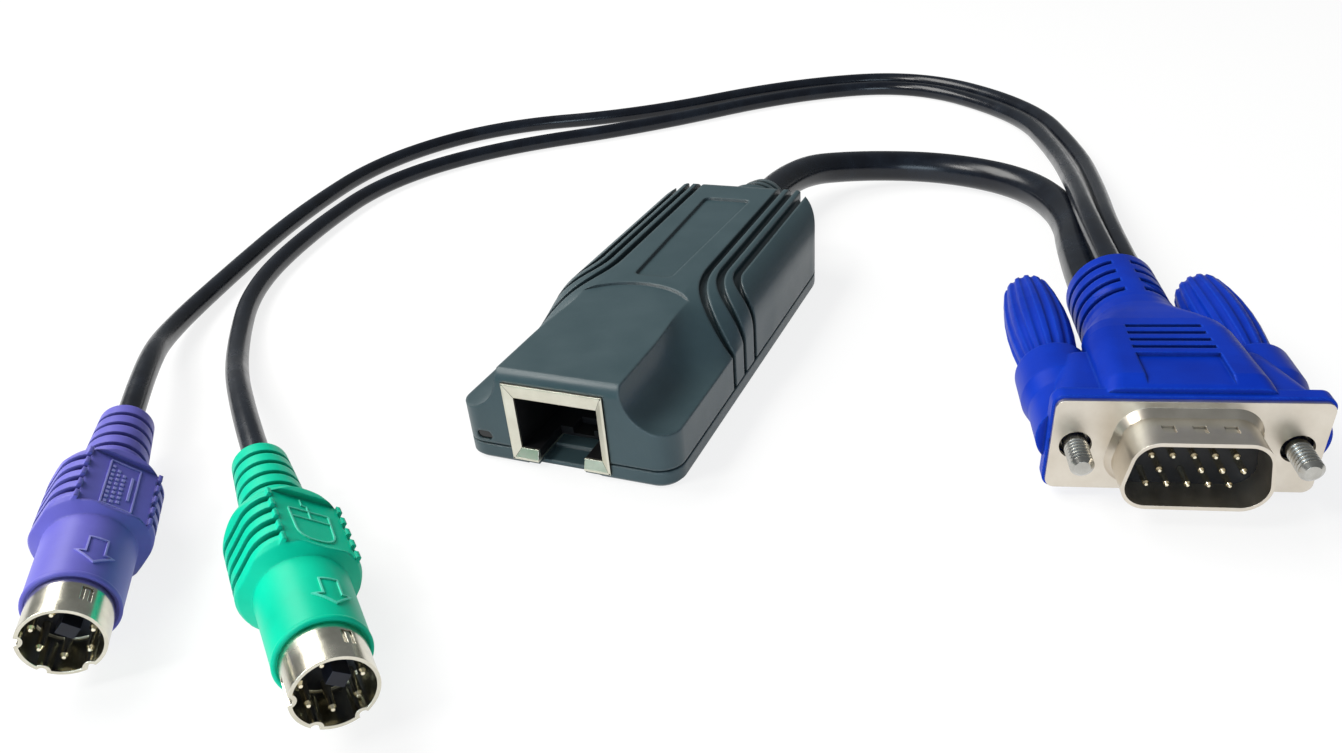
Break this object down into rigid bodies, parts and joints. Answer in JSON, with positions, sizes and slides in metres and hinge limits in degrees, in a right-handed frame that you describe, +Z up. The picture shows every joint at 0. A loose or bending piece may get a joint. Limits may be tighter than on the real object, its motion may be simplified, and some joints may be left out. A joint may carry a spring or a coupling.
{
  "type": "kvm dongle",
  "caption": "Server interface module: slate plastic pod with a shielded network jack, and captive cords to a blue video plug, a round keyboard plug and a round mouse plug.",
  "frame": {"origin": "centre of the pod's underside", "axes": "+Y along the pod, from the network jack to the cord; +Z up"},
  "size_m": [0.2048, 0.2625, 0.0159],
  "materials": {
    "top_cover": "fine moulded texture, slate grey",
    "bottom_cover": "fine moulded texture, slate grey",
    "cover_screws": "plated steel",
    "jack_shield": "nickel-plated sheet",
    "jack_insert": "black moulding",
    "jack_contacts": "gold-plated wire",
    "circuit_board": "green solder mask",
    "main_chip": "black mould compound",
    "line_chips": "black mould compound",
    "crystal": "drawn can",
    "capacitors": "drawn can",
    "board_led": "clear lens",
    "led_light_pipe": "smoked clear moulding",
    "cable_header": "cream nylon",
    "header_wires": "PVC insulation",
    "cable_gland": "moulded soft plastic, slate grey",
    "video_cable": "PVC jacket, near-black",
    "keyboard_cable": "PVC jacket, near-black",
    "mouse_cable": "PVC jacket, near-black",
    "vga_hood": "moulded blue",
    "vga_inner_mould": "inner moulding",
    "vga_shell": "nickel-plated sheet",
    "vga_insulator": "black moulding",
    "vga_pins": "plated pins",
    "thumbscrew_left_shank": "plated steel",
    "thumbscrew_right_shank": "plated steel",
    "thumbscrew_left_knob": "moulded blue",
    "thumbscrew_right_knob": "moulded blue",
    "keyboard_plug_grip": "moulded purple",
    "mouse_plug_grip": "moulded green",
    "keyboard_plug_shell": "nickel-plated sheet",
    "mouse_plug_shell": "nickel-plated sheet",
    "keyboard_plug_insert": "black moulding",
    "mouse_plug_insert": "black moulding",
    "keyboard_plug_pins": "plated pins",
    "mouse_plug_pins": "plated pins"
  },
  "bodies": {
    "dongle": {"top_cover": "top_cover", "bottom_cover": "bottom_cover", "cover_screws": "cover_screws", "jack_shield": "jack_shield", "jack_insert": "jack_insert", "jack_contacts": "jack_contacts", "circuit_board": "circuit_board", "main_chip": "main_chip", "line_chips": "line_chips", "crystal": "crystal", "capacitors": "capacitors", "board_led": "board_led", "led_light_pipe": "led_light_pipe", "cable_header": "cable_header", "header_wires": "header_wires", "cable_gland": "cable_gland", "video_cable": "video_cable", "keyboard_cable": "keyboard_cable", "mouse_cable": "mouse_cable", "vga_hood": "vga_hood", "vga_inner_mould": "vga_inner_mould", "vga_shell": "vga_shell", "vga_insulator": "vga_insulator", "vga_pins": "vga_pins", "keyboard_plug_grip": "keyboard_plug_grip", "mouse_plug_grip": "mouse_plug_grip", "keyboard_plug_shell": "keyboard_plug_shell", "mouse_plug_shell": "mouse_plug_shell", "keyboard_plug_insert": "keyboard_plug_insert", "mouse_plug_insert": "mouse_plug_insert", "keyboard_plug_pins": "keyboard_plug_pins", "mouse_plug_pins": "mouse_plug_pins"},
    "thumbscrew_left": {"thumbscrew_left_shank": "thumbscrew_left_shank", "thumbscrew_left_knob": "thumbscrew_left_knob"},
    "thumbscrew_right": {"thumbscrew_right_shank": "thumbscrew_right_shank", "thumbscrew_right_knob": "thumbscrew_right_knob"}
  },
  "joints": [
    {"name": "thumbscrew_left_turn", "type": "hinge", "parent": "dongle", "child": "thumbscrew_left", "pos_m": [0.06196, -0.01582, 0.008], "axis": [-0.2419, 0.9703, 0], "continuous": true},
    {"name": "thumbscrew_right_turn", "type": "hinge", "parent": "dongle", "child": "thumbscrew_right", "pos_m": [0.08621, -0.00977, 0.008], "axis": [-0.2419, 0.9703, 0], "continuous": true}
  ]
}
